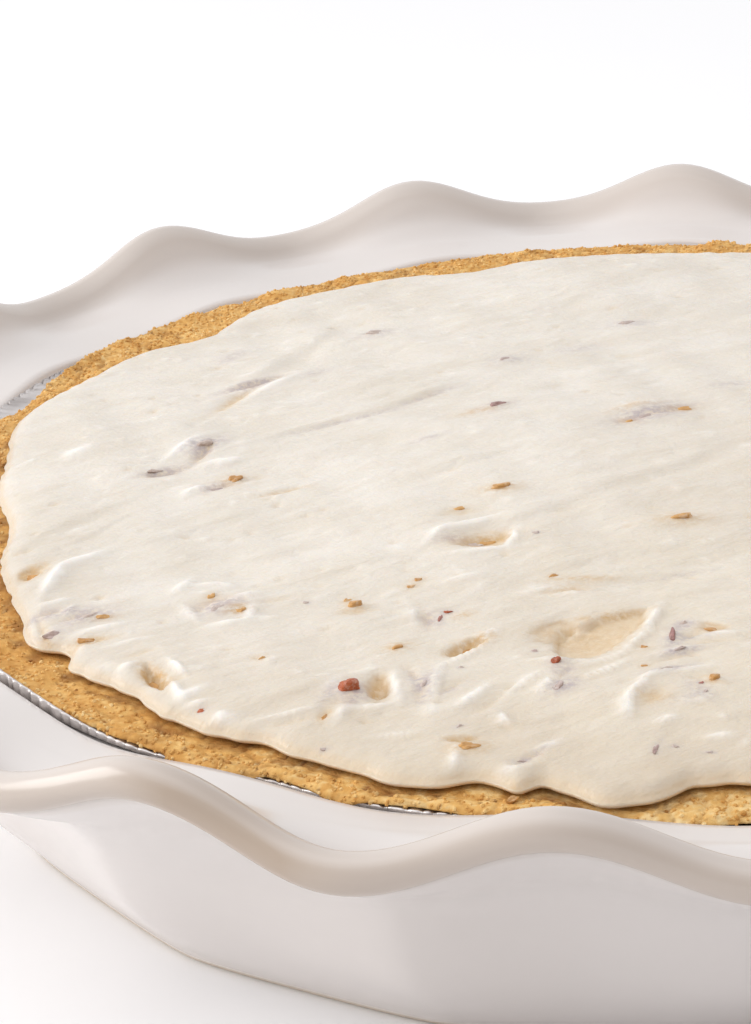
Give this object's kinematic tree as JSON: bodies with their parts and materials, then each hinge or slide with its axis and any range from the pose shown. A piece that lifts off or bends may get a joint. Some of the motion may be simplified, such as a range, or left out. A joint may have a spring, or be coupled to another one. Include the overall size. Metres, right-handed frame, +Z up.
{
  "type": "cream pecan pie in a ruffled pie dish",
  "caption": "No-bake cream pecan pie in a crumb crust and foil tin, set in a white ruffled ceramic pie dish, uncut and ready to serve.",
  "frame": {"origin": "centre of the dish's flat underside, which is the centre of the object's footprint", "axes": "+Z up, front towards -Y, +X to the right"},
  "size_m": [0.2624, 0.2624, 0.0485],
  "materials": {
    "dish_glaze": "gloss",
    "foil": "crimped foil",
    "crumb_crust": "rough golden biscuit crumb",
    "pecan_cream": "soft satin cream with chopped pecan"
  },
  "bodies": {
    "root": {"pie_dish": "dish_glaze", "foil_tin": "foil", "crumb_crust": "crumb_crust", "pecan_filling": "pecan_cream"}
  },
  "joints": []
}
